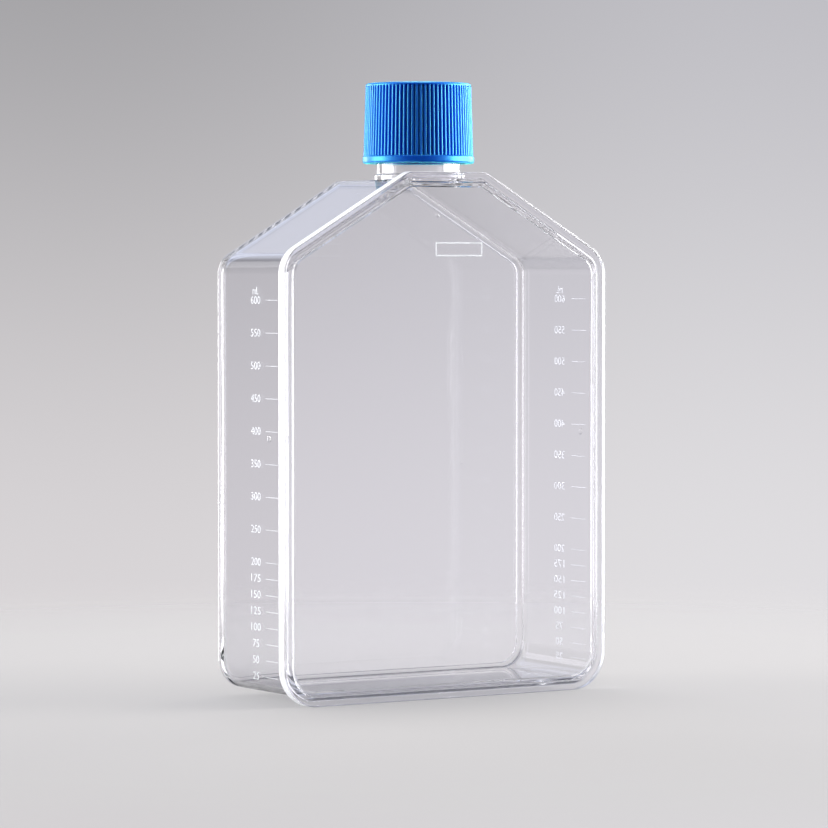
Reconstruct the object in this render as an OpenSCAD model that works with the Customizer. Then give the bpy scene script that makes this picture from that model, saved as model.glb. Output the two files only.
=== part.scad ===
// Cell culture flask with a 175 cm2 growth face, a straight neck and a vented screw cap.
// Millimetres. +Z is up, and the flask stands on its end wall. The welded front panel
// faces -Y, the growth face is the back wall at +Y, and the origin is at the middle of
// the footprint.

/* [Flask] */
// Width over the weld flange
flask_w = 120; // [100:1:140]
// Depth from the front panel to the rim around the back wall
flask_d = 47; // [40:1:58]
// Height where the flange's side would meet its shoulder
shoulder_z = 139.7; // [110:0.1:170]
// Height from the shoulder to the flat that carries the neck
shoulder_rise = 26.5; // [20:0.1:34]
// How far that flat runs past the neck's collar on each side, on the flange
top_margin = 0.35; // [0.1:0.05:2]
// Wall thickness of the tray
wall = 1.7; // [1.5:0.1:2.5]
// Corner radius of the flange at the end wall
corner_r = 12; // [9:0.5:16]
// Corner radius of the flange at the shoulder
shoulder_r = 10; // [7:0.5:14]
// Corner radius of the flange at the top flat
top_r = 4; // [3:0.5:6]
// Height of the rim around the back wall
back_rim_h = 1.2; // [0.4:0.1:2]
// Width of that rim
back_rim_w = 2.4; // [2:0.1:4]
// Radius along the outer edge of that rim
back_r = 1.4; // [0.5:0.1:1.8]
// Radius along the back edges inside the tray
inner_r = 2; // [0.5:0.5:5]

/* [Weld flange and front panel] */
// How far the flange stands out from the tray's walls
flange_out = 2.2; // [1.5:0.1:3]
// Thickness of the tray's flange
flange_t = 1.6; // [1.2:0.1:2.5]
// Thickness of the panel's rim
panel_t = 2; // [1.6:0.1:3]
// Width of the raised rim around the panel
rim_w = 3.4; // [2.5:0.1:5]
// How far the panel's field lies behind its rim
rim_step = 0.4; // [0.2:0.1:0.8]

/* [Foot] */
// Length of the rear foot along the end wall
foot_w = 60; // [40:1:90]
// Thickness of the rear foot
foot_t = 1.6; // [1.2:0.1:2.5]

/* [Neck] */
// Outside diameter of the neck
neck_d = 26.8; // [24:0.1:30]
// Wall of the neck
neck_wall = 2.2; // [1.6:0.1:3]
// How far the neck stands above the tray's top
neck_h = 27.5; // [24:0.5:34]
// Distance from the front panel back to the neck's collar
neck_setback = 1.9; // [1.8:0.1:5]
// Height of the collar at the foot of the neck
collar_h = 1.6; // [1:0.1:2.4]
// How far the collar stands out
collar_out = 0.8; // [0.4:0.1:1]

/* [Thread] */
// Rise of the thread in one turn
pitch = 4; // [3:0.5:5]
// Turns of thread on the neck
neck_turns = 3; // [2:0.5:3.5]
// Turns of thread in the cap
cap_turns = 2.5; // [1.5:0.5:3]
// Height of a thread ridge
ridge_h = 1.15; // [0.8:0.05:1.4]
// Radial clearance from a ridge to the wall opposite
thread_gap = 0.4; // [0.25:0.05:0.6]

/* [Cap] */
// Wall of the cap under its ribs
cap_wall = 1.2; // [1:0.1:1.6]
// Height of the cap
cap_h = 25.4; // [20:0.1:30]
// Thickness of the cap's top
cap_top_t = 1.6; // [1.2:0.1:2.2]
// Number of grip ribs
ribs = 80; // [40:1:100]
// Height of a grip rib
rib_h = 0.65; // [0.4:0.05:0.9]
// Height of the smooth ring at the cap's edge
ring_h = 2.6; // [2:0.1:4]
// How far that ring stands out from the ribs
ring_out = 0.95; // [0.5:0.05:1.2]
// Number of vent windows in the cap's top
windows = 6; // [4:1:8]

/* [Seal and vent] */
// Thickness of the seal liner
liner_t = 1.2; // [0.8:0.1:1.6]
// Thickness of the vent membrane
membrane_t = 0.3; // [0.2:0.05:0.4]
// Gap between the liner and the neck's mouth
seat_gap = 0.1; // [0.05:0.05:0.2]
// Running gap between the cap and the pieces that turn in it
turn_gap = 0.15; // [0.1:0.05:0.3]

/* [Hidden] */
$fn = 64;
arc_steps = 6; // straight steps in each rounded corner of an outline
round_steps = 4; // straight steps around the tray's back edges
ridge_steps = 32; // straight steps in one turn of thread
over = 1; // how far a cut runs past the face it opens

neck_r = neck_d / 2;
bore_r = neck_r - neck_wall;
collar_r = neck_r + collar_out;

top_z = shoulder_z + shoulder_rise;
top_half_w = collar_r + top_margin;
slope = atan2(shoulder_rise, flask_w / 2 - top_half_w);
front_y = -flask_d / 2;
back_y = flask_d / 2;
back_face_y = back_y - back_rim_h;
panel_back_y = front_y + panel_t;
neck_y = panel_back_y + neck_setback + collar_r;
tray_top_z = top_z - flange_out;

neck_top_z = tray_top_z + neck_h;
liner_z = neck_top_z + seat_gap;
cap_roof_z = liner_z + liner_t + turn_gap;
cap_top_z = cap_roof_z + cap_top_t;
cap_z = cap_top_z - cap_h;

ridge_base = 0.375 * pitch; // axial width of a ridge where it leaves its wall
ridge_crest = 0.2 * pitch; // axial width of its crest
ridge_root = 0.4; // how far a ridge is sunk into its wall
mouth_margin = 2; // plain neck above its ridge
cap_bore_r = neck_r + ridge_h + thread_gap;
cap_root_r = cap_bore_r + cap_wall;
rib_r = cap_root_r + rib_h;
ring_r = rib_r + ring_out;
neck_thread_z = neck_top_z - mouth_margin - ridge_base - neck_turns * pitch;
// lowest place for the cap's ridge, and the first place above it that lies half a pitch
// away from the neck's ridge, counted in whole turns
cap_thread_low = cap_z + ring_h + ridge_base / 2;
cap_thread_turn = ceil((cap_thread_low - neck_thread_z) / pitch + 0.5) - 0.5;
cap_thread_z = neck_thread_z + cap_thread_turn * pitch;

liner_r = cap_bore_r - thread_gap;
bead_r = (neck_r + liner_r) / 2; // inner radius of the bead that holds the liner up
bead_h = 0.8;
vent_r = 0.62 * neck_r; // outer radius of the vent windows
membrane_seat = 1.6; // how far the membrane laps over the liner
membrane_r = vent_r + membrane_seat;
hub_r = 3; // solid middle of the cap's top
spoke_w = 2; // width of the bars between the windows

clear_tint = [0.86, 0.92, 0.97, 0.4];
cap_blue = [0.09, 0.42, 0.8];

function unit(v) = v / norm(v);

// Corner points of the flask's outline moved inwards by inset, anticlockwise from the
// lower left, as seen from the front
function outline_corners(inset) =
    let (side = flask_w / 2 - inset,
         shoulder = shoulder_z - inset * (1 - sin(slope)) / cos(slope),
         flat = top_half_w - inset * (1 - cos(slope)) / sin(slope))
    [[-side, inset], [side, inset], [side, shoulder],
     [flat, top_z - inset], [-flat, top_z - inset], [-side, shoulder]];

function outline_radii(inset) =
    [for (r = [corner_r, corner_r, shoulder_r, top_r, top_r, shoulder_r]) max(r - inset, 0.5)];

// Points of the arc of radius r that rounds corner b between corners a and c
function corner_arc(a, b, c, r) =
    let (u = unit(a - b), v = unit(c - b),
         half = acos(u * v) / 2,
         middle = b + unit(u + v) * r / sin(half),
         first = b + u * r / tan(half) - middle,
         start = atan2(first[1], first[0]),
         turn = 180 - 2 * half)
    [for (i = [0:arc_steps]) middle + r * [cos(start + turn * i / arc_steps),
                                            sin(start + turn * i / arc_steps)]];

function outline_points(inset) =
    let (p = outline_corners(inset), r = outline_radii(inset), n = len(p))
    [for (i = [0:n - 1]) each corner_arc(p[(i + n - 1) % n], p[i], p[(i + 1) % n], r[i])];

// The outline as a plate from y0 to y1
module plate(inset, y0, y1) {
    translate([0, y1, 0]) rotate([90, 0, 0])
        linear_extrude(y1 - y0) polygon(outline_points(inset));
}

// A block of the outline from y0 to y1 whose edges at y1 have the radius r: rings of the
// outline, each moved inwards and backwards along the rounded edge, joined by flat facets
module rounded_block(inset, y0, y1, r) {
    turns = [for (i = [0:round_steps]) 90 * i / round_steps];
    rings = concat([[inset, y0]],
                   [for (a = turns) [inset + r * (1 - cos(a)), y1 - r + r * sin(a)]]);
    n = len(outline_points(inset));
    last = n * (len(rings) - 1);
    points = [for (ring = rings, p = outline_points(ring[0])) [p[0], ring[1], p[1]]];
    sides = [for (k = [0:len(rings) - 2], i = [0:n - 1])
        let (a = k * n + i, b = k * n + (i + 1) % n)
        each [[a, b, b + n], [a, b + n, a + n]]];
    polyhedron(points, concat(sides, [[for (i = [n - 1:-1:0]) i]],
                              [[for (i = [0:n - 1]) last + i]]));
}

// Section of a ridge at angle a: its root lies in the wall at radius r, its crest points
// outwards (side 1) or inwards (side -1), and k scales it down at the ridge's ends
function ridge_section(r, side, a, z, k) =
    let (root = r - side * ridge_root, crest = r + side * ridge_h * k,
         base = ridge_base / 2, tip = max(ridge_crest / 2 * k, 0.05),
         pts = [[root, z - base], [crest, z - tip], [crest, z + tip], [root, z + base]])
    [for (p = pts) [p[0] * cos(a), p[0] * sin(a), p[1]]];

// A right-hand helical ridge of the given turns, starting at height z
module ridge(r, side, z, turns) {
    n = ceil(turns * ridge_steps);
    lead = ridge_steps / 4;
    points = [for (i = [0:n])
        let (k = max(min(i / lead, (n - i) / lead, 1), 0.05))
        each ridge_section(r, side, 360 * i / ridge_steps, z + pitch * i / ridge_steps, k)];
    flip = side > 0;
    quads = [for (i = [0:n - 1], j = [0:3])
        let (a = 4 * i + j, b = 4 * i + (j + 1) % 4)
        flip ? [a, b, b + 4, a + 4] : [a + 4, b + 4, b, a]];
    tris = [for (q = quads) each [[q[0], q[1], q[2]], [q[0], q[2], q[3]]]];
    first = flip ? [[3, 2, 1], [3, 1, 0]] : [[1, 2, 3], [0, 1, 3]];
    last = [for (t = first) [for (k = [2:-1:0]) t[k] + 4 * n]];
    polyhedron(points, concat(tris, first, last));
}

module at_neck() {
    translate([0, neck_y, 0]) children();
}

// Moulded tray: back wall with its rim, side walls, end wall, shoulders, neck, weld
// flange and foot
module flask_body() {
    color(clear_tint) difference() {
        union() {
            rounded_block(flange_out, panel_back_y, back_y, back_r);
            plate(0, panel_back_y, panel_back_y + flange_t);
            translate([-foot_w / 2, back_y - back_r - foot_t, 0])
                cube([foot_w, foot_t, flange_out + wall / 2]);
            at_neck() {
                translate([0, 0, tray_top_z - wall])
                    cylinder(r = neck_r, h = neck_h + wall);
                translate([0, 0, tray_top_z - wall])
                    cylinder(r = collar_r, h = collar_h + wall);
                ridge(neck_r, 1, neck_thread_z, neck_turns);
            }
        }
        rounded_block(flange_out + wall, panel_back_y - over, back_face_y - wall, inner_r);
        plate(flange_out + back_rim_w, back_face_y, back_y + over);
        at_neck() translate([0, 0, tray_top_z - neck_r])
            cylinder(r = bore_r, h = neck_h + neck_r + over);
    }
}

// Flat cover welded to the flange, with a raised rim
module front_panel() {
    color(clear_tint) difference() {
        plate(0, front_y, panel_back_y);
        plate(rim_w, front_y - over, front_y + rim_step);
    }
}

// Ring that seals on the neck's mouth and carries the membrane
module cap_liner() {
    color("white") at_neck() translate([0, 0, liner_z]) difference() {
        cylinder(r = liner_r, h = liner_t);
        translate([0, 0, -over]) cylinder(r = vent_r, h = liner_t + 2 * over);
        translate([0, 0, liner_t - membrane_t])
            cylinder(r = membrane_r + turn_gap, h = membrane_t + over);
    }
}

module vent_membrane() {
    color([0.97, 0.97, 0.95]) at_neck() translate([0, 0, liner_z + liner_t - membrane_t])
        cylinder(r = membrane_r, h = membrane_t);
}

// Cross-section of the ribbed skirt, one trapezium to a rib
module rib_outline() {
    step = 360 / ribs;
    polygon([for (i = [0:ribs - 1], c = [[-0.32, 0], [-0.18, 1], [0.18, 1], [0.32, 0]])
        let (a = (i + c[0]) * step, r = cap_root_r + c[1] * rib_h) [r * cos(a), r * sin(a)]]);
}

// The openings of the vent, as a flat shape
module window_outline() {
    difference() {
        circle(vent_r);
        circle(hub_r);
        for (i = [0:windows - 1])
            rotate(360 * i / windows) translate([0, -spoke_w / 2]) square([vent_r + over, spoke_w]);
    }
}

// Ribbed cap with a smooth edge ring, an internal thread and a vented top
module cap_shell() {
    color(cap_blue) at_neck() difference() {
        union() {
            difference() {
                union() {
                    translate([0, 0, cap_z + ring_h / 2])
                        linear_extrude(cap_h - ring_h / 2) rib_outline();
                    translate([0, 0, cap_z]) cylinder(r = ring_r, h = ring_h);
                }
                translate([0, 0, cap_z - over])
                    cylinder(r = cap_bore_r, h = cap_roof_z - cap_z + over);
            }
            translate([0, 0, liner_z - turn_gap - bead_h]) difference() {
                cylinder(r = cap_bore_r + cap_wall / 2, h = bead_h);
                translate([0, 0, -over]) cylinder(r = bead_r, h = bead_h + 2 * over);
            }
            ridge(cap_bore_r, -1, cap_thread_z, cap_turns);
        }
        translate([0, 0, cap_roof_z - over])
            linear_extrude(cap_top_t + 2 * over) window_outline();
    }
}

flask_body();
front_panel();
cap_liner();
vent_membrane();
cap_shell();
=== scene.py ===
import math

import bmesh
import bpy
import numpy as np
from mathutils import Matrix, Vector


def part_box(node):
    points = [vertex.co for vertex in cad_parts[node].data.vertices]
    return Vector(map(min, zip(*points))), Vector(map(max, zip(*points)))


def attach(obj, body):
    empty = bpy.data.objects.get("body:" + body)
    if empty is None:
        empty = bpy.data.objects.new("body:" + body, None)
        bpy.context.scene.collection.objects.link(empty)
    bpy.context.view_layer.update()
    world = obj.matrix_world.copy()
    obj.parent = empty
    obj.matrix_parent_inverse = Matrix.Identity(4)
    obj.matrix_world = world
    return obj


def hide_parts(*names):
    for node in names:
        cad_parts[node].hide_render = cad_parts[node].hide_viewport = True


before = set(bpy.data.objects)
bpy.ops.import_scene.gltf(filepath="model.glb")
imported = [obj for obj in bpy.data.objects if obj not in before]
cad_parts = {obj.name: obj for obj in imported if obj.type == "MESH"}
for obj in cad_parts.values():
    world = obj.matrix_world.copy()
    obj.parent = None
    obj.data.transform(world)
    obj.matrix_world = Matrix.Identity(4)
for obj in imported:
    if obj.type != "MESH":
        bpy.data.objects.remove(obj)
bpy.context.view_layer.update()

MM = 0.001

# ---------------------------------------------------------------- sizes, in metres
BODY_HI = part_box("flask_body")[1]
PANEL_LO, PANEL_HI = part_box("front_panel")
CAP_LO, CAP_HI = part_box("cap_shell")
LINER_LO, LINER_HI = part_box("cap_liner")

HALF_W = BODY_HI.x
FRONT_Y = PANEL_LO.y
WELD_Y = PANEL_HI.y
BACK_Y = BODY_HI.y
TOP_Z = PANEL_HI.z
NECK_TOP = BODY_HI.z
NECK_Y = (CAP_LO.y + CAP_HI.y) / 2

SHOULDER_RISE = 26.5 * MM
SHOULDER_Z = TOP_Z - SHOULDER_RISE
TOP_HALF_W = 14.55 * MM
CORNER_R = 12 * MM
SHOULDER_R = 10 * MM
TOP_R = 4 * MM
SLOPE = math.atan2(SHOULDER_RISE, HALF_W - TOP_HALF_W)

WALL = 1.7 * MM
BACK_RIM_H = 1.2 * MM
BACK_RIM_W = 2.4 * MM
BACK_R = 2 * MM
INNER_R = 2 * MM
BACK_FACE_Y = BACK_Y - BACK_RIM_H
FLANGE_OUT = 2.2 * MM
FLANGE_T = 1.6 * MM
WELD_GAP = 0.03 * MM
RIM_W = 3.4 * MM
RIM_STEP = 0.4 * MM
FLASH_IN = FLANGE_OUT + WALL + 0.4 * MM   # inset of the bead that the weld pressed out
FLASH_H = 0.25 * MM
FOOT_W = 60 * MM
FOOT_T = 1.6 * MM
SIDE_X = HALF_W - FLANGE_OUT      # outer face of the side walls
TRAY_TOP = TOP_Z - FLANGE_OUT
LID_INSET = 9 * MM                # where the flat lids of the swept mouldings begin

# waves of the weld bead: share of its height, number round the outline, start
FLASH_WAVES = ((0.4, 17, 1.0), (0.3, 29, 2.2), (0.2, 43, 0))
FLASH_WAVE = 0.4                  # height of the waves as a share of the bead's

GATE_MARKS = ((-1, 13 * MM), (1, 10.4 * MM))   # side, and distance behind the front
GATE_Z = 83 * MM
GATE_R = 1.1 * MM
GATE_H = 0.12 * MM
# marks on the panel's field: place across, height and radius
FIELD_MARKS = ((-4 * MM, 152.5 * MM, 0.7 * MM), (4.8 * MM, 74.5 * MM, 0.5 * MM))
FIELD_MARK_H = 0.15 * MM

NECK_R = 13.4 * MM
NECK_WALL = 2.2 * MM
BORE_R = NECK_R - NECK_WALL
COLLAR_H = 1.6 * MM
COLLAR_OUT = 0.8 * MM
NECK_SUNK = 1.2 * MM              # how far the neck is sunk into the tray's top
MOUTH_FLARE = 0.5 * MM
CORE_SHARE = 0.3                  # radius of a turned solid's flat lids, share of its own
TURNED_SIDES = 128

PITCH = 4 * MM
RIDGE_H = 1.15 * MM
RIDGE_BASE = 0.375 * PITCH
RIDGE_CREST = 0.2 * PITCH
RIDGE_ROOT = 0.4 * MM
RIDGE_SOFT = 0.18 * MM            # how far the crest's corners lie below the crest
RIDGE_SPREAD = 0.15 * MM          # and beside it
RIDGE_START = 0.04                # share of the height at a ridge's very ends
NECK_TURNS = 3
CAP_TURNS = 2.5
MOUTH_MARGIN = 2 * MM             # plain neck above its ridge
NECK_THREAD_Z = NECK_TOP - MOUTH_MARGIN - RIDGE_BASE - NECK_TURNS * PITCH
CAP_THREAD_Z = NECK_THREAD_Z - 0.5 * PITCH

LINER_R = (LINER_HI.x - LINER_LO.x) / 2
THREAD_GAP = 0.4 * MM
TURN_GAP = 0.15 * MM              # between the liner and the cap's roof
CAP_BORE_R = LINER_R + THREAD_GAP
CAP_ROOF = LINER_HI.z + TURN_GAP
CAP_CORE_R = 0.8 * MM             # flat middle of the cap's top
BEAD_DROP = 0.95 * MM             # from the liner down to the foot of the bead under it
BEAD_H = 0.8 * MM
BEAD_SUNK = 0.5 * MM              # how far that bead is sunk into the cap's wall
RIB_LOW_R = 17.45 * MM
RIB_TOP_R = 16.75 * MM
RIB_H = 0.7 * MM
RING_R = (CAP_HI.x - CAP_LO.x) / 2
RING_H = 2.1 * MM
RIB_FOOT = 0.3 * MM               # plain skirt between the ring and the ribs
RIB_FADE = 0.3 * MM               # height over which the grooves end
RIBS = 80
RIB_HALF = 0.40                   # half a rib's width at its foot, in steps of the ribs
RIB_SIDE = 0.2                    # width of a rib's sloping side, in the same
RIB_END = np.array([0.04, 0.03, 0.015])  # shares of the skirt above which the grooves end
RIB_SAMPLES = 8
WINDOWS = 6
WINDOW_R = 0.62 * NECK_R
WINDOW_POINTS = 48
WINDOW_POWER = 0.35               # how square a window's outline is: 1 is round
HUB_R = 3 * MM
SPOKE_W = 2 * MM

SCALE_ZERO = 3.49 * MM            # height of 0 mL, near the tray's floor inside
SCALE_STEP = 10.21 * MM           # height of one step
STEP_ML = 50                      # its volume
VOLUMES = (*range(25, 200, 25), *range(200, 601, 50))   # in mL
DIGIT_H = 2.4 * MM
DIGIT_W = 1.7 * MM
DIGIT_GAP = 0.35 * MM
TICK_H = 0.13 * MM
UNIT_W = 3.6 * MM
UNIT_RISE = 3 * MM                # from the top number up to the unit
INK_T = 0.03 * MM
INK_GAP = 0.01 * MM               # between the ink and its wall
# name, side, middle of the ticks, their length, middle of the numbers
SCALES = (("scale_left", -1, 12.0 * MM, 7.4 * MM, 2.1 * MM),
          ("scale_right", 1, -12.0 * MM, 8.0 * MM, -1.0 * MM))
BOX_X = (-4.7 * MM, 12.8 * MM)
BOX_Z = (139.7 * MM, 144.1 * MM)
BOX_LINE = 0.42 * MM


# ---------------------------------------------------------------- mesh helpers
def make_object(name, verts, faces):
    """An object at the origin from rows of points and a list of face index arrays."""
    mesh = bpy.data.meshes.new(name)
    mesh.from_pydata(verts.reshape(-1, 3).tolist(), [], [f.tolist() for f in faces])
    mesh.validate()
    obj = bpy.data.objects.new(name, mesh)
    bpy.context.scene.collection.objects.link(obj)
    return obj


def outward(obj):
    """Merges double points of a closed solid and turns its faces outwards."""
    bm = bmesh.new()
    bm.from_mesh(obj.data)
    bmesh.ops.remove_doubles(bm, verts=bm.verts, dist=1e-7)
    bmesh.ops.recalc_face_normals(bm, faces=bm.faces)
    bm.to_mesh(obj.data)
    bm.free()
    return obj


def ring_faces(rows, cols):
    """Quads between rings of points: corner [i, j] joins [i + 1, j], [i + 1, j + 1] and
    [i, j + 1], and the last column joins the first."""
    i, j = np.meshgrid(np.arange(rows - 1), np.arange(cols), indexing="ij")
    m = (j + 1) % cols
    return np.stack([i * cols + j, (i + 1) * cols + j, (i + 1) * cols + m, i * cols + m],
                    -1).reshape(-1, 4)


def skin(name, grid):
    """A closed solid from rings of points, grid[ring, point]: quads between the rings and
    a flat lid on the first ring and on the last."""
    rows, cols = grid.shape[:2]
    lids = [np.arange(cols)[::-1], (rows - 1) * cols + np.arange(cols)]
    return outward(make_object(name, grid, [*ring_faces(rows, cols), *lids]))


def rounded(points, radii, support=0.2 * MM):
    """An open polyline with its inner corners rounded: each corner becomes an arc of its
    own radius, tangent to both sides, finer on large radii, with one more point on each
    side to hold the shading."""
    out = [np.array(points[0], float)]
    for a, b, c, r in zip(points, points[1:], points[2:], radii):
        a, b, c = (np.array(p, float) for p in (a, b, c))
        u = (a - b) / np.linalg.norm(a - b)
        v = (c - b) / np.linalg.norm(c - b)
        half = math.acos(np.clip(u @ v, -1, 1)) / 2
        middle = b + (u + v) / np.linalg.norm(u + v) * r / math.sin(half)
        reach = r / math.tan(half)
        p, q = b + u * reach - middle, b + v * reach - middle
        t = np.linspace(0, 1, 5 + round(r / (0.6 * MM)))[:, None]
        turn = math.pi - 2 * half
        arc = (np.sin((1 - t) * turn) * p + np.sin(t * turn) * q) / math.sin(turn)
        out += [b + u * (reach + support), *(middle + arc), b + v * (reach + support)]
    out.append(np.array(points[-1], float))
    return np.array(out)


def outline(inset, arc=14, run=24, support=0.3 * MM):
    """The flask's outline in X and Z moved inwards by inset, anticlockwise from the lower
    left as seen from the front: six corners with round arcs, and straight runs between
    them in equal steps with one short step at each end."""
    side = HALF_W - inset
    shoulder = SHOULDER_Z - inset * (1 - math.sin(SLOPE)) / math.cos(SLOPE)
    flat = TOP_HALF_W - inset * (1 - math.cos(SLOPE)) / math.sin(SLOPE)
    p = np.array([[-side, inset], [side, inset], [side, shoulder],
                  [flat, TOP_Z - inset], [-flat, TOP_Z - inset], [-side, shoulder]])
    r = np.array([CORNER_R, CORNER_R, SHOULDER_R, TOP_R, TOP_R, SHOULDER_R]) - inset
    r = np.maximum(r, 0.5 * MM)
    u = np.roll(p, 1, 0) - p
    v = np.roll(p, -1, 0) - p
    u /= np.linalg.norm(u, axis=1)[:, None]
    v /= np.linalg.norm(v, axis=1)[:, None]
    half = np.arccos((u * v).sum(1)) / 2
    bisector = (u + v) / np.linalg.norm(u + v, axis=1)[:, None]
    middle = p + bisector * (r / np.sin(half))[:, None]
    first = p + u * (r / np.tan(half))[:, None] - middle
    angle = np.arctan2(first[:, 1], first[:, 0])[:, None] \
        + (math.pi - 2 * half)[:, None] * np.linspace(0, 1, arc + 1)
    arcs = middle[:, None] + r[:, None, None] * np.stack([np.cos(angle), np.sin(angle)], -1)
    gap = np.roll(arcs[:, 0], -1, 0) - arcs[:, -1]
    edge = support / np.linalg.norm(gap, axis=1)[:, None]
    t = edge + (1 - 2 * edge) * np.linspace(0, 1, run)
    runs = arcs[:, -1][:, None] + gap[:, None] * t[..., None]
    return np.concatenate([arcs, runs], 1).reshape(-1, 2)


def swept(section):
    """Rings of the section's points (inset, depth) carried round the outline: each point
    draws the outline moved inwards by its inset, at its own depth."""
    rings = np.stack([outline(inset) for inset, _ in section])
    depth = np.broadcast_to(section[:, 1, None, None], rings[..., :1].shape)
    return np.concatenate([rings[..., :1], depth, rings[..., 1:]], -1)


def turned(profile, columns):
    """Rings of the profile's points (radius, height) turned about the neck's axis."""
    a = np.arange(columns) * 2 * math.pi / columns
    x = profile[:, 0, None] * np.cos(a)
    y = profile[:, 0, None] * np.sin(a) + NECK_Y
    return np.stack([x, y, np.broadcast_to(profile[:, 1, None], x.shape)], -1)


def tube_ring(name, profile, columns):
    """A closed ring about the neck's axis from a closed profile of (radius, height)."""
    grid = turned(profile, columns).transpose(1, 0, 2)
    grid = np.concatenate([grid, grid[:1]])
    return outward(make_object(name, grid, list(ring_faces(columns + 1, len(profile)))))


def make_ridge(name, r, side, z, turns, steps=64):
    """A right-hand helical ridge. Its section is a trapezium with soft corners, its root
    in the wall at radius r and its crest outwards (side 1) or inwards (side -1); it rises
    one pitch a turn, and its height grows over a quarter turn at each end."""
    n = int(turns * steps)
    t = np.arange(n + 1)
    k = np.clip(np.minimum(t, n - t) / (steps / 4), RIDGE_START, 1)[:, None]
    base, tip = RIDGE_BASE / 2, RIDGE_CREST / 2 * k
    crest = r + side * RIDGE_H * k
    root = np.full_like(crest, r - side * RIDGE_ROOT)
    soft = side * RIDGE_SOFT * k
    radius = np.hstack([root, crest - soft, crest, crest, crest - soft, root])
    axial = np.hstack([-base + 0 * k, -tip - RIDGE_SPREAD * k, -tip * 0.7,
                       tip * 0.7, tip + RIDGE_SPREAD * k, base + 0 * k])
    a = (t * 2 * math.pi / steps)[:, None]
    grid = np.stack([radius * np.cos(a), radius * np.sin(a) + NECK_Y,
                     z + PITCH * t[:, None] / steps + axial], -1)
    return skin(name, grid)


def combine(obj, other, operation):
    """Joins other to obj, or cuts it away, and leaves one mesh."""
    mod = obj.modifiers.new("combine", "BOOLEAN")
    mod.operation = operation
    mod.object = other
    mod.solver = "EXACT"
    shape = bpy.data.meshes.new_from_object(
        obj.evaluated_get(bpy.context.evaluated_depsgraph_get()))
    obj.modifiers.clear()
    obj.data = shape
    bpy.data.objects.remove(other)


def finish_surface(obj, material, angle=32):
    """Gives the material and smooth shading, with true edges where faces meet at more
    than the angle, and normals weighted by the corner angles of the faces around."""
    obj.data.materials.clear()
    obj.data.materials.append(material)
    obj.data.shade_smooth()
    obj.data.set_sharp_from_angle(angle=math.radians(angle))
    mod = obj.modifiers.new("corner_normals", "WEIGHTED_NORMAL")
    mod.mode = "CORNER_ANGLE"
    mod.keep_sharp = True


# ---------------------------------------------------------------- materials
def new_material(name):
    """A named material with its node tree, links and Principled shader."""
    mat = bpy.data.materials.new(name)
    mat.use_nodes = True
    tree = mat.node_tree
    return mat, tree.nodes, tree.links, tree.nodes["Principled BSDF"]


def grain(nodes, links, shader, scale, strength, distance, detail=2.0):
    """Fine relief from a noise in object coordinates; returns the noise."""
    place = nodes.new("ShaderNodeTexCoord")
    noise = nodes.new("ShaderNodeTexNoise")
    noise.inputs["Scale"].default_value = scale
    noise.inputs["Detail"].default_value = detail
    bump = nodes.new("ShaderNodeBump")
    bump.inputs["Strength"].default_value = strength
    bump.inputs["Distance"].default_value = distance
    links.new(place.outputs["Object"], noise.inputs["Vector"])
    links.new(noise.outputs["Fac"], bump.inputs["Height"])
    links.new(bump.outputs["Normal"], shader.inputs["Normal"])
    return noise


def two_tones(nodes, links, shader, noise, dark, light):
    """Colour that wanders between two near tones with the noise."""
    ramp = nodes.new("ShaderNodeValToRGB")
    ramp.color_ramp.elements[0].position = 0.35
    ramp.color_ramp.elements[1].position = 0.65
    ramp.color_ramp.elements[0].color = (*dark, 1)
    ramp.color_ramp.elements[1].color = (*light, 1)
    links.new(noise.outputs["Fac"], ramp.inputs["Fac"])
    links.new(ramp.outputs["Color"], shader.inputs["Base Color"])


def blend(nodes, links, fac, first, second):
    """Sends a mix of two shaders to the surface; fac is the second's share, as a number
    or as a socket."""
    mix = nodes.new("ShaderNodeMixShader")
    if isinstance(fac, float):
        mix.inputs["Fac"].default_value = fac
    else:
        links.new(fac, mix.inputs["Fac"])
    links.new(first.outputs["BSDF"], mix.inputs[1])
    links.new(second.outputs["BSDF"], mix.inputs[2])
    links.new(mix.outputs["Shader"], nodes["Material Output"].inputs["Surface"])


def clear_polystyrene():
    """Clear moulded polystyrene: it bends light, mirrors softly, lets the lamps through,
    and has the faint waves of a moulded wall. Where the faces carry the attribute satin,
    along the flange's outer edge, it is frosted and scatters light."""
    mat, nodes, links, shader = new_material("clear_polystyrene")
    shader.inputs["Base Color"].default_value = (0.98, 0.978, 1.0, 1)
    shader.inputs["IOR"].default_value = 1.59
    satin = nodes.new("ShaderNodeAttribute")
    satin.attribute_name = "satin"
    for socket, clear, frosted in (("Roughness", 0.01, 0.5), ("Transmission Weight", 1, 0.35)):
        share = nodes.new("ShaderNodeMapRange")
        share.inputs["To Min"].default_value = clear
        share.inputs["To Max"].default_value = frosted
        links.new(satin.outputs["Fac"], share.inputs["Value"])
        links.new(share.outputs["Result"], shader.inputs[socket])
    grain(nodes, links, shader, 38, 0.035, 0.0006, 1.0)
    path = nodes.new("ShaderNodeLightPath")
    through = nodes.new("ShaderNodeBsdfTransparent")
    through.inputs["Color"].default_value = (0.94, 0.945, 0.955, 1)
    blend(nodes, links, path.outputs["Is Shadow Ray"], shader, through)
    return mat


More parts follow.
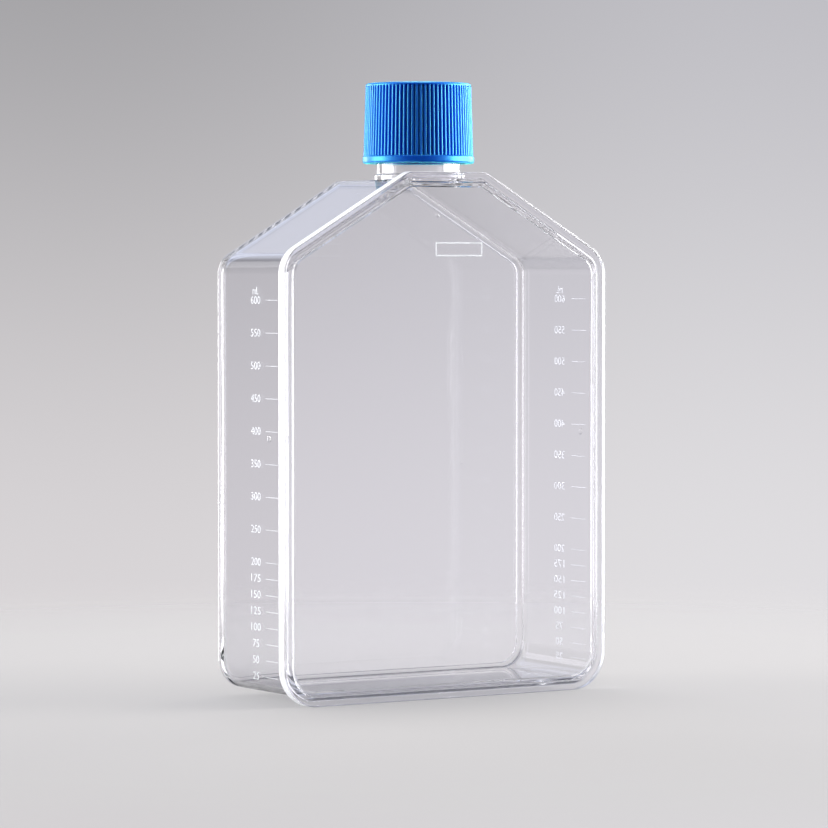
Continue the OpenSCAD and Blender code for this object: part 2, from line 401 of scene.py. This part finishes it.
def blue_polyethylene():
    """Blue moulded polyethylene: satin, with a fine grain and a little light inside."""
    mat, nodes, links, shader = new_material("blue_polyethylene")
    shader.inputs["Roughness"].default_value = 0.36
    shader.inputs["IOR"].default_value = 1.8
    shader.inputs["Specular IOR Level"].default_value = 0.9
    shader.inputs["Specular Tint"].default_value = (0.15, 1.0, 0.9, 1)
    shader.inputs["Sheen Weight"].default_value = 1.0
    shader.inputs["Sheen Roughness"].default_value = 0.4
    shader.inputs["Sheen Tint"].default_value = (0.1, 1.0, 0.9, 1)
    shader.inputs["Subsurface Weight"].default_value = 0.15
    shader.inputs["Subsurface Radius"].default_value = (0.2, 0.6, 1.0)
    shader.inputs["Subsurface Scale"].default_value = 0.0008
    noise = grain(nodes, links, shader, 1500, 0.01, 0.0002, 4.0)
    two_tones(nodes, links, shader, noise, (0.001, 0.065, 0.78), (0.001, 0.085, 0.86))
    return mat


def liner_polyethylene():
    """Natural polyethylene of the liner: milky and matt."""
    mat, nodes, links, shader = new_material("liner_polyethylene")
    shader.inputs["Roughness"].default_value = 0.45
    shader.inputs["Subsurface Weight"].default_value = 0.3
    shader.inputs["Subsurface Radius"].default_value = (1.0, 1.0, 1.0)
    shader.inputs["Subsurface Scale"].default_value = 0.001
    noise = grain(nodes, links, shader, 700, 0.1, 0.0002)
    two_tones(nodes, links, shader, noise, (0.70, 0.73, 0.76), (0.78, 0.80, 0.82))
    return mat


def membrane_fibre():
    """Porous white membrane of fine felted fibres."""
    mat, nodes, links, shader = new_material("membrane")
    shader.inputs["Roughness"].default_value = 0.9
    noise = grain(nodes, links, shader, 2600, 0.5, 0.0002, 6.0)
    two_tones(nodes, links, shader, noise, (0.72, 0.72, 0.70), (0.88, 0.88, 0.86))
    return mat


def white_ink():
    """Screen-printed white ink: matt, a little uneven, and so thin that half of the light
    on one side shows on the other."""
    mat, nodes, links, shader = new_material("white_ink")
    shader.inputs["Roughness"].default_value = 0.5
    noise = grain(nodes, links, shader, 1800, 0.2, 0.0001, 3.0)
    two_tones(nodes, links, shader, noise, (0.88, 0.89, 0.91), (0.96, 0.97, 0.98))
    glow = nodes.new("ShaderNodeBsdfTranslucent")
    glow.inputs["Color"].default_value = (0.97, 0.98, 1.0, 1)
    blend(nodes, links, 0.5, shader, glow)
    return mat


CLEAR = clear_polystyrene()
BLUE = blue_polyethylene()
INK = white_ink()


# ---------------------------------------------------------------- flask
def frost_edge(obj, low, high):
    """Marks the faces of the flange's outer edge between two depths: they look away from
    the flask's middle, square to Y."""
    faces = obj.data.polygons
    middle, normal = np.empty(len(faces) * 3), np.empty(len(faces) * 3)
    faces.foreach_get("center", middle)
    faces.foreach_get("normal", normal)
    middle, normal = middle.reshape(-1, 3), normal.reshape(-1, 3)
    away = normal[:, 0] * middle[:, 0] + normal[:, 2] * (middle[:, 2] - TOP_Z / 2) > 0
    edge = (middle[:, 1] > low) & (middle[:, 1] < high) & (np.abs(normal[:, 1]) < 0.6) & away
    satin = obj.data.attributes.new("satin", "FLOAT", "FACE")
    satin.data.foreach_set("value", edge.astype(np.float32))


def neck_solid():
    """The neck without its bore: a turned profile with a collar at the foot and a soft
    edge at the mouth."""
    core, collar = CORE_SHARE * NECK_R, NECK_R + COLLAR_OUT
    low = TRAY_TOP - NECK_SUNK
    profile = rounded(
        [(core, low), (collar, low), (collar, TRAY_TOP + COLLAR_H),
         (NECK_R, TRAY_TOP + COLLAR_H), (NECK_R, NECK_TOP), (core, NECK_TOP)],
        [0.05 * MM, 0.4 * MM, 0.35 * MM, 0.4 * MM])
    return skin("neck", turned(profile, TURNED_SIDES))


def bore_tool():
    """What the neck's bore takes away: a cylinder that flares at the mouth."""
    flare = MOUTH_FLARE
    core = CORE_SHARE * BORE_R
    profile = rounded(
        [(core, TRAY_TOP - BORE_R), (BORE_R, TRAY_TOP - BORE_R), (BORE_R, NECK_TOP - flare),
         (BORE_R + 1.6 * flare, NECK_TOP + flare), (core, NECK_TOP + flare)],
        [0.05 * MM, 1.2 * MM, 0.05 * MM])
    return skin("bore", turned(profile, TURNED_SIDES))


def foot_solid():
    """The rear foot: a low bar under the end wall with round ends. Rings of a stadium
    outline shrink towards its sole."""
    a = np.linspace(-math.pi / 2, math.pi / 2, 9)
    r = FOOT_T / 2
    end = np.stack([FOOT_W / 2 - r + r * np.cos(a), r * np.sin(a)], -1)
    stadium = np.vstack([end, -end])
    rings = [(0, FLANGE_OUT + WALL / 2), (0, 0.5 * MM), (0.05 * MM, 0.25 * MM),
             (0.2 * MM, 0.05 * MM), (0.35 * MM, 0)]
    middle = BACK_Y - BACK_R - r
    grid = np.stack([np.column_stack([stadium[:, 0] * (1 - d / (FOOT_W / 2)),
                                      stadium[:, 1] * (1 - d / r) + middle,
                                      np.full(len(stadium), z)]) for d, z in rings])
    return skin("foot", grid)


def dome(name, middle, way, radius, height):
    """A low round mark of the mould, sunk a little into its wall: a small step and then
    rings of a quarter circle's height around the point middle, along the vector way."""
    t = np.linspace(0, math.pi / 2, 6)
    lift = height * (0.3 + 0.7 * np.sin(t))
    profile = [(radius, -0.3 * MM), *zip(radius * np.cos(t), lift)][:-1]
    a = np.arange(24) * 2 * math.pi / 24
    way = np.array(way, float)
    u = np.cross(way, (0, 0, 1))
    v = np.cross(way, u)
    grid = np.stack([np.array(middle) + way * h
                     + r * (np.cos(a)[:, None] * u + np.sin(a)[:, None] * v)
                     for r, h in profile])
    return skin(name, grid)


def flask_tray():
    """The moulded tray with its neck: a section carried round the outline, from the
    inside of the back wall over the mouth, the weld flange and the rim around the back
    wall to that wall's outside. The neck, its thread and the foot are joined on and the
    bore is cut."""
    inner, mouth, rim = FLANGE_OUT + WALL, WELD_Y + WELD_GAP, FLANGE_OUT + BACK_RIM_W
    section = rounded(
        [(LID_INSET, BACK_FACE_Y - WALL), (inner, BACK_FACE_Y - WALL), (inner, mouth),
         (0, mouth), (0, mouth + FLANGE_T), (FLANGE_OUT, mouth + FLANGE_T),
         (FLANGE_OUT, BACK_Y), (rim, BACK_Y), (rim, BACK_FACE_Y), (LID_INSET, BACK_FACE_Y)],
        [INNER_R, 0.2 * MM, 0.3 * MM, 0.35 * MM, 0.6 * MM, BACK_R, 0.3 * MM, 0.3 * MM],
        support=0.1 * MM)
    tray = skin("flask_tray", swept(section))
    combine(tray, neck_solid(), "UNION")
    combine(tray, make_ridge("ridge", NECK_R, 1, NECK_THREAD_Z, NECK_TURNS), "UNION")
    combine(tray, foot_solid(), "UNION")
    combine(tray, bore_tool(), "DIFFERENCE")
    for side, y in GATE_MARKS:
        combine(tray, dome("gate_mark", (side * SIDE_X, FRONT_Y + y, GATE_Z), (side, 0, 0),
                           GATE_R, GATE_H), "UNION")
    frost_edge(tray, mouth, mouth + FLANGE_T)
    finish_surface(tray, CLEAR)
    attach(tray, "flask")
    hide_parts("flask_body")


def panel_cover():
    """The welded front panel: a flat field behind a raised rim, a soft outer edge, and on
    its back the uneven bead that the weld pressed out inside the tray. The bead's height
    is a sum of three sines along the outline."""
    section = rounded(
        [(LID_INSET, FRONT_Y + RIM_STEP), (RIM_W, FRONT_Y + RIM_STEP),
         (RIM_W - RIM_STEP, FRONT_Y), (0, FRONT_Y), (0, WELD_Y),
         (FLASH_IN - 0.5 * MM, WELD_Y), (FLASH_IN, WELD_Y + FLASH_H),
         (FLASH_IN + 0.5 * MM, WELD_Y), (LID_INSET, WELD_Y)],
        [0.3 * MM, 0.2 * MM, 0.6 * MM, 0.3 * MM, 0.1 * MM, 0.2 * MM, 0.1 * MM],
        support=0.04 * MM)
    grid = swept(section)
    bead = np.clip((grid[..., 1] - WELD_Y) / FLASH_H, 0, 1)
    s = np.arange(grid.shape[1]) * 2 * math.pi / grid.shape[1]
    waves = sum(part * np.sin(number * s + start) for part, number, start in FLASH_WAVES)
    grid[..., 1] += bead * waves * FLASH_WAVE * FLASH_H
    panel = skin("panel_cover", grid)
    for x, z, radius in FIELD_MARKS:
        combine(panel, dome("field_mark", (x, FRONT_Y + RIM_STEP, z), (0, -1, 0), radius,
                            FIELD_MARK_H), "UNION")
    frost_edge(panel, FRONT_Y, WELD_Y)
    finish_surface(panel, CLEAR)
    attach(panel, "flask")
    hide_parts("front_panel")


# ---------------------------------------------------------------- cap
def rib_wave(columns):
    """Height share of the grip ribs round the cap, from 0 in a groove to 1 on a crest:
    the clipped distance from each rib's middle, eased at both ends."""
    x = (np.arange(columns) / RIB_SAMPLES) % 1
    k = np.clip((RIB_HALF - np.abs(x - 0.5)) / RIB_SIDE, 0, 1)
    return k * k * (3 - 2 * k)


def window_rings(k, grow):
    """Points of vent window k grown by grow: an evenly rounded rectangle in radius and
    angle, whose angle keeps half a spoke's width from the windows beside it."""
    t = np.linspace(0, 2 * math.pi, WINDOW_POINTS, endpoint=False) + math.pi / WINDOW_POINTS
    s = np.sign(np.cos(t)) * np.abs(np.cos(t)) ** WINDOW_POWER
    u = np.sign(np.sin(t)) * np.abs(np.sin(t)) ** WINDOW_POWER
    low, high = HUB_R - grow, WINDOW_R + grow
    r = (low + high) / 2 + s * (high - low) / 2
    half = math.pi / WINDOWS - np.arcsin((SPOKE_W / 2 - grow) / r)
    a = (k + 0.5) * 2 * math.pi / WINDOWS + u * half
    return np.stack([r * np.cos(a), r * np.sin(a) + NECK_Y], -1)


def window_tool(k):
    """What one vent window takes away: rings of the window that flare at the top."""
    top = CAP_HI.z
    rings = [(0, CAP_ROOF - 0.3 * MM), (0, top - 0.3 * MM), (0.08 * MM, top - 0.12 * MM),
             (0.3 * MM, top + 0.05 * MM)]
    grid = np.stack([np.column_stack([window_rings(k, grow), np.full(WINDOW_POINTS, z)])
                     for grow, z in rings])
    return skin("window", grid)


def cap_cover():
    """The cap: grip ribs on a slightly conical skirt over a smooth ring, a smooth bore
    and roof inside, the thread, the bead that keeps the liner up and the vent windows.
    The skirt's radius is its profile less the rib height times one minus the rib wave."""
    columns = RIBS * RIB_SAMPLES
    low, top = CAP_LO.z, CAP_HI.z
    rib_z = low + RING_H + RIB_FOOT
    profile = rounded(
        [(CAP_CORE_R, CAP_ROOF), (CAP_BORE_R, CAP_ROOF), (CAP_BORE_R, low), (RING_R, low),
         (RING_R, rib_z), (RIB_LOW_R, rib_z), (RIB_TOP_R, top), (CAP_CORE_R, top)],
        [0.3 * MM, 0.5 * MM, 0.7 * MM, 0.6 * MM, 0.03 * MM, 0.8 * MM], support=0.05 * MM)
    wall = np.argmax(np.diff(profile[:, 1]) * (profile[1:, 0] > CAP_BORE_R + MM))
    more = profile[wall + 1] - (profile[wall + 1] - profile[wall]) * RIB_END[:, None]
    profile = np.insert(profile, wall + 1, more, 0)
    skirt = np.arange(len(profile)) > np.argmax(profile[:, 0] + (profile[:, 1] > low) * MM)
    taper = (RIB_LOW_R - RIB_TOP_R) / (top - rib_z)
    root = RIB_LOW_R - RIB_H - (profile[:, 1] - rib_z) * taper
    depth = np.clip(profile[:, 0] - root, 0, RIB_H) * skirt * (profile[:, 1] >= rib_z - 1e-6)
    groove_top = profile[wall + 1 + len(RIB_END), 1]
    depth *= np.clip((groove_top - profile[:, 1]) / RIB_FADE, 0, 1)
    grid = turned(profile, columns)
    a = np.arange(columns) * 2 * math.pi / columns
    sink = depth[:, None] * (1 - rib_wave(columns))
    grid[..., 0] -= sink * np.cos(a)
    grid[..., 1] -= sink * np.sin(a)
    cap = skin("cap_cover", grid)
    combine(cap, make_ridge("cap_ridge", CAP_BORE_R, -1, CAP_THREAD_Z, CAP_TURNS), "UNION")
    bead_z, bead_r = LINER_LO.z - BEAD_DROP, (NECK_R + LINER_R) / 2
    outer = CAP_BORE_R + BEAD_SUNK
    bead = rounded([(outer, bead_z), (bead_r, bead_z), (bead_r, bead_z + BEAD_H),
                    (outer, bead_z + BEAD_H)], [0.25 * MM, 0.25 * MM], support=0.05 * MM)
    combine(cap, tube_ring("bead", bead, TURNED_SIDES), "UNION")
    for k in range(WINDOWS):
        combine(cap, window_tool(k), "DIFFERENCE")
    finish_surface(cap, BLUE, 40)
    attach(cap, "cap")
    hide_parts("cap_shell")


# ---------------------------------------------------------------- print
def lettering(text, height, width):
    """Solid letters of the given height and width: points (along, up, out), centred
    along and up, with their faces."""
    curve = bpy.data.curves.new("letters", "FONT")
    curve.body = text
    curve.extrude = 0.5
    curve.resolution_u = 3
    curve.offset = -0.012
    obj = bpy.data.objects.new("letters", curve)
    bpy.context.scene.collection.objects.link(obj)
    mesh = bpy.data.meshes.new_from_object(
        obj.evaluated_get(bpy.context.evaluated_depsgraph_get()))
    points = np.empty(len(mesh.vertices) * 3)
    mesh.vertices.foreach_get("co", points)
    faces = [np.array(p.vertices) for p in mesh.polygons]
    bpy.data.objects.remove(obj)
    points = points.reshape(-1, 3)
    size = np.ptp(points, 0)
    middle = points.min(0) + size / 2
    return (points - middle) / size * (width, height, INK_T), faces


def bar(length, height):
    """A flat bar as points (along, up, out), centred, with its six faces."""
    corner = np.array([[x, y, z] for z in (-1, 1) for y in (-1, 1) for x in (-1, 1)]) / 2
    faces = [[0, 2, 3, 1], [4, 5, 7, 6], [0, 1, 5, 4], [2, 6, 7, 3], [0, 4, 6, 2],
             [1, 3, 7, 5]]
    return corner * (length, height, INK_T), [np.array(f) for f in faces]


def print_piece(name, marks, place):
    """One piece of ink from marks (points, faces, along, up), set on a face by place,
    which turns rows of (along, up, out) into points in space."""
    points, faces, count = [], [], 0
    for shape, polygons, along, up in marks:
        points.append(place(shape + (along, up, 0)))
        faces += [f + count for f in polygons]
        count += len(shape)
    obj = outward(make_object(name, np.concatenate(points), faces))
    obj.data.materials.append(INK)
    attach(obj, "flask")


def side_scale(name, side, tick_at, tick, digits_at):
    """The graduations of one side wall, read from outside: a tick and a number for each
    volume, and the unit above them. Side is -1 on the left and 1 on the right, and
    distances along the wall run to the reader's right."""
    marks = []
    for volume in VOLUMES:
        up = SCALE_ZERO + SCALE_STEP * volume / STEP_ML
        text = str(volume)
        width = DIGIT_W * len(text) + DIGIT_GAP * (len(text) - 1)
        marks.append((*bar(tick, TICK_H), tick_at, up))
        marks.append((*lettering(text, DIGIT_H, width), digits_at, up))
    marks.append((*lettering("mL", DIGIT_H, UNIT_W), digits_at,
                  SCALE_ZERO + SCALE_STEP * (VOLUMES[-1] // STEP_ML) + UNIT_RISE))

    def place(p):
        x = side * (SIDE_X + INK_GAP + INK_T / 2 + p[:, 2])
        return np.column_stack([x, side * p[:, 0], p[:, 1]])
    print_piece(name, marks, place)


def panel_box():
    """The empty outlined box near the top of the panel's field."""
    (x0, x1), (z0, z1), line = BOX_X, BOX_Z, BOX_LINE
    width, height = x1 - x0, z1 - z0
    middle_x, middle_z = (x0 + x1) / 2, (z0 + z1) / 2
    marks = [(*bar(width, line), middle_x, z0 + line / 2),
             (*bar(width, line), middle_x, z1 - line / 2),
             (*bar(line, height - 2 * line), x0 + line / 2, middle_z),
             (*bar(line, height - 2 * line), x1 - line / 2, middle_z)]
    face = FRONT_Y + RIM_STEP - INK_GAP - INK_T / 2
    print_piece("panel_box", marks,
                lambda p: np.column_stack([p[:, 0], face - p[:, 2], p[:, 1]]))


# ---------------------------------------------------------------- studio
VIEW_YAW = math.radians(32.0)     # the camera's turn from straight ahead
VIEW_DROP = math.radians(2.1)     # how far it looks down
# brightness of the surround by the angle from the backdrop's middle, to the right
ROOM = ((-180, 0.05), (-145, 0.07), (-125, 0.95), (-80, 0.95), (-73, 0.1), (-55, 0.1),
        (-47, 0.9), (-24, 0.85), (-8, 0.6), (8, 0.66), (26, 0.85), (98, 0.95), (108, 0.5),
        (125, 0.5), (134, 0.3), (150, 0.07), (180, 0.05))
# direction of the lit panel high behind the flask, which its left shoulder mirrors, its
# soft edge as cosines, and its colour
PANEL_WAY = (0.235, 0.853, 0.466)
PANEL_EDGE = (0.93, 0.975)
PANEL_LIGHT = (0.74, 0.78, 0.92)
# the backdrop's colours low down and high up, each on the left and on the right
BACKDROP_LOW = (0.69, 0.665, 0.68), (0.745, 0.73, 0.75)
BACKDROP_HIGH = (0.36, 0.355, 0.37), (0.51, 0.505, 0.54)
BACKDROP_TURN = (-0.09, 0.09)     # between its left and its right
BACKDROP_RISE = (-0.09, 0.1)      # between low down and high up
BACKDROP_EDGE = (0.93, 0.985)     # between the room and the backdrop in reflections
DARK_ABOVE, ROOM_TOP = (0.03, 0.035, 0.06), (0.28, 0.42)
DARK_BELOW, ROOM_FOOT = (0.02, 0.02, 0.02), (-0.4, -0.2)

FLOOR_RADII = (0.02, 0.2, 0.45, 0.7, 1.0)
FLOOR_SIDES = 96
FLOOR_FADE = (0.15, 0.5)          # radii between which the floor fades out

CAMERA_AT = (-0.67264, -1.07922, 0.1359)
LENS = 172.8                      # focal length in mm
AIM = (0, 0, 0.09)                # what the lamps are aimed at
# name, turn, height, distance, size, power, and whether it shows in the light that clear
# walls bend, instead of in reflections
SOFTBOXES = (("left_softbox", -91, 0.41, 1.8, (1.2, 1.4), 42, False),
             ("left_edge_light", -80, 0.41, 1.82, (0.8, 1.4), 5, True),
             ("left_rim_softbox", -142, 0.25, 1.8, (0.4, 1.0), 12, False),
             ("left_rim_edge_light", -128, 0.41, 1.82, (0.4, 1.4), 2, True),
             ("right_softbox", 95, 0.41, 1.8, (1.5, 1.4), 66, False),
             ("right_edge_light", 99, 0.41, 1.82, (0.8, 1.4), 11, True),
             ("right_rim_softbox", 142, 0.41, 1.8, (0.4, 1.4), 20, False),
             ("right_rim_edge_light", 142, 0.41, 1.82, (0.4, 1.4), 3.5, True),
             ("top_softbox", 180, 1.15, 0.15, (0.5, 0.5), 7, False))


def studio_floor():
    """A pale disc that fades out at its rim into the surround. Surfaces don't mirror it,
    and it throws no light back at them."""
    radius = np.array(FLOOR_RADII)
    a = np.arange(FLOOR_SIDES) * 2 * math.pi / FLOOR_SIDES
    x = radius[:, None] * np.cos(a)
    grid = np.stack([x, radius[:, None] * np.sin(a), np.zeros_like(x)], -1)
    faces = [*ring_faces(len(radius), FLOOR_SIDES), np.arange(FLOOR_SIDES)[::-1]]
    floor = make_object("studio_floor", grid, faces)
    mat, nodes, links, shader = new_material("pale_floor")
    shader.inputs["Base Color"].default_value = (0.48, 0.468, 0.466, 1)
    shader.inputs["Roughness"].default_value = 0.8
    shader.inputs["Specular IOR Level"].default_value = 0
    place = nodes.new("ShaderNodeTexCoord")
    length = nodes.new("ShaderNodeVectorMath")
    length.operation = "LENGTH"
    fade = nodes.new("ShaderNodeMapRange")
    fade.interpolation_type = "SMOOTHSTEP"
    fade.inputs["From Min"].default_value, fade.inputs["From Max"].default_value = FLOOR_FADE
    clear = nodes.new("ShaderNodeBsdfTransparent")
    links.new(place.outputs["Object"], length.inputs[0])
    links.new(length.outputs["Value"], fade.inputs["Value"])
    blend(nodes, links, fade.outputs["Result"], shader, clear)
    floor.data.materials.append(mat)
    floor.visible_diffuse = False
    floor.visible_glossy = False


def surround():
    """The surround. Seen directly it is a grey backdrop, paler on the right and below, and
    light that comes through the clear walls shows the same backdrop between darkness above
    and below. Surfaces mirror the backdrop straight behind the flask and elsewhere a room
    that changes with the angle round the flask, with bright walls at both sides; the room
    also lights matt surfaces. All but the direct view have a lit panel high behind. The
    ranges are smooth steps of the direction's parts."""
    world = bpy.data.worlds.new("surround")
    bpy.context.scene.world = world
    world.use_nodes = True
    nodes, links = world.node_tree.nodes, world.node_tree.links
    nodes.clear()
    place = nodes.new("ShaderNodeTexCoord")
    path = nodes.new("ShaderNodeLightPath")

    def part(way):
        dot = nodes.new("ShaderNodeVectorMath")
        dot.operation = "DOT_PRODUCT"
        dot.inputs[1].default_value = way
        links.new(place.outputs["Generated"], dot.inputs[0])
        return dot.outputs["Value"]

    def share(value, low, high, smooth=True):
        step = nodes.new("ShaderNodeMapRange")
        step.interpolation_type = "SMOOTHSTEP" if smooth else "LINEAR"
        step.inputs["From Min"].default_value = low
        step.inputs["From Max"].default_value = high
        links.new(value, step.inputs["Value"])
        return step.outputs["Result"]

    def layer(below, above, fac):
        mix = nodes.new("ShaderNodeMix")
        mix.data_type = "RGBA"
        links.new(fac, mix.inputs["Factor"])
        for socket, value in ((mix.inputs[6], below), (mix.inputs[7], above)):
            if isinstance(value, tuple):
                socket.default_value = (*value, 1)
            else:
                links.new(value, socket)
        return mix.outputs[2]

    up = part((0, 0, 1))
    right = part((math.cos(VIEW_YAW), -math.sin(VIEW_YAW), 0))
    ahead = part((math.sin(VIEW_YAW), math.cos(VIEW_YAW), 0))
    low = layer(*BACKDROP_LOW, share(right, *BACKDROP_TURN))
    high = layer(*BACKDROP_HIGH, share(right, *BACKDROP_TURN))
    backdrop = layer(low, high, share(up, *BACKDROP_RISE))
    angle = nodes.new("ShaderNodeMath")
    angle.operation = "ARCTAN2"
    links.new(right, angle.inputs[0])
    links.new(ahead, angle.inputs[1])
    room = nodes.new("ShaderNodeValToRGB")
    room.color_ramp.interpolation = "EASE"
    stops = room.color_ramp.elements
    for k, (turn, level) in enumerate(ROOM):
        stop = stops[k] if k < 2 else stops.new(1)
        stop.position = turn / 360 + 0.5
        stop.color = (level, level, level * 1.02, 1)
    links.new(share(angle.outputs["Value"], -math.pi, math.pi, False), room.inputs["Fac"])
    mirrored = layer(room.outputs["Color"], backdrop, share(ahead, *BACKDROP_EDGE))
    walls = layer(mirrored, backdrop, path.outputs["Is Transmission Ray"])
    room_above = layer(walls, DARK_ABOVE, share(up, *ROOM_TOP))
    lit_panel = share(part(PANEL_WAY), *PANEL_EDGE)
    with_panel = layer(room_above, PANEL_LIGHT, lit_panel)
    whole = layer(DARK_BELOW, with_panel, share(up, *ROOM_FOOT))
    seen = layer(whole, backdrop, path.outputs["Is Camera Ray"])
    back = nodes.new("ShaderNodeBackground")
    out = nodes.new("ShaderNodeOutputWorld")
    links.new(seen, back.inputs["Color"])
    links.new(back.outputs["Background"], out.inputs["Surface"])


def softbox(name, turn, height, distance, size, power, bent):
    """A rectangular soft lamp aimed at the flask, which lights every matt surface. Its
    turn is counted from the camera's side of the flask, to the camera's right. Surfaces
    mirror it, but the light bent by clear walls doesn't show it; with a lamp that is bent
    it is the other way round."""
    a = -math.pi / 2 - VIEW_YAW + math.radians(turn)
    lamp = bpy.data.lights.new(name, "AREA")
    lamp.shape = "RECTANGLE"
    lamp.size, lamp.size_y = size
    lamp.energy = power
    obj = bpy.data.objects.new(name, lamp)
    obj.location = (distance * math.cos(a), distance * math.sin(a), height)
    way = np.array(AIM) - np.array(obj.location)
    obj.rotation_euler = (math.acos(-way[2] / np.linalg.norm(way)), 0,
                          math.atan2(way[1], way[0]) - math.pi / 2)
    obj.visible_camera = False
    obj.visible_transmission = bent
    obj.visible_glossy = not bent
    bpy.context.scene.collection.objects.link(obj)


def camera():
    """A long lens that looks a little downwards."""
    cam = bpy.data.cameras.new("camera")
    cam.sensor_width = 36
    cam.lens = LENS
    cam.dof.use_dof = False
    cam.clip_end = 20
    obj = bpy.data.objects.new("camera", cam)
    obj.location = CAMERA_AT
    obj.rotation_euler = (math.pi / 2 - VIEW_DROP, 0, -VIEW_YAW)
    bpy.context.scene.collection.objects.link(obj)
    bpy.context.scene.camera = obj


camera()
surround()
studio_floor()
for lamp in SOFTBOXES:
    softbox(*lamp)

flask_tray()
panel_cover()
cap_cover()
for wall_scale in SCALES:
    side_scale(*wall_scale)
panel_box()
for node, material in (("cap_liner", liner_polyethylene()),
                       ("vent_membrane", membrane_fibre())):
    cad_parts[node].data.materials.clear()
    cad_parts[node].data.materials.append(material)

scene = bpy.context.scene
scene.view_settings.view_transform = "Standard"
scene.cycles.max_bounces = 64
scene.cycles.transmission_bounces = 48
scene.cycles.glossy_bounces = 64
scene.cycles.transparent_max_bounces = 16
scene.cycles.caustics_reflective = False
scene.cycles.caustics_refractive = False
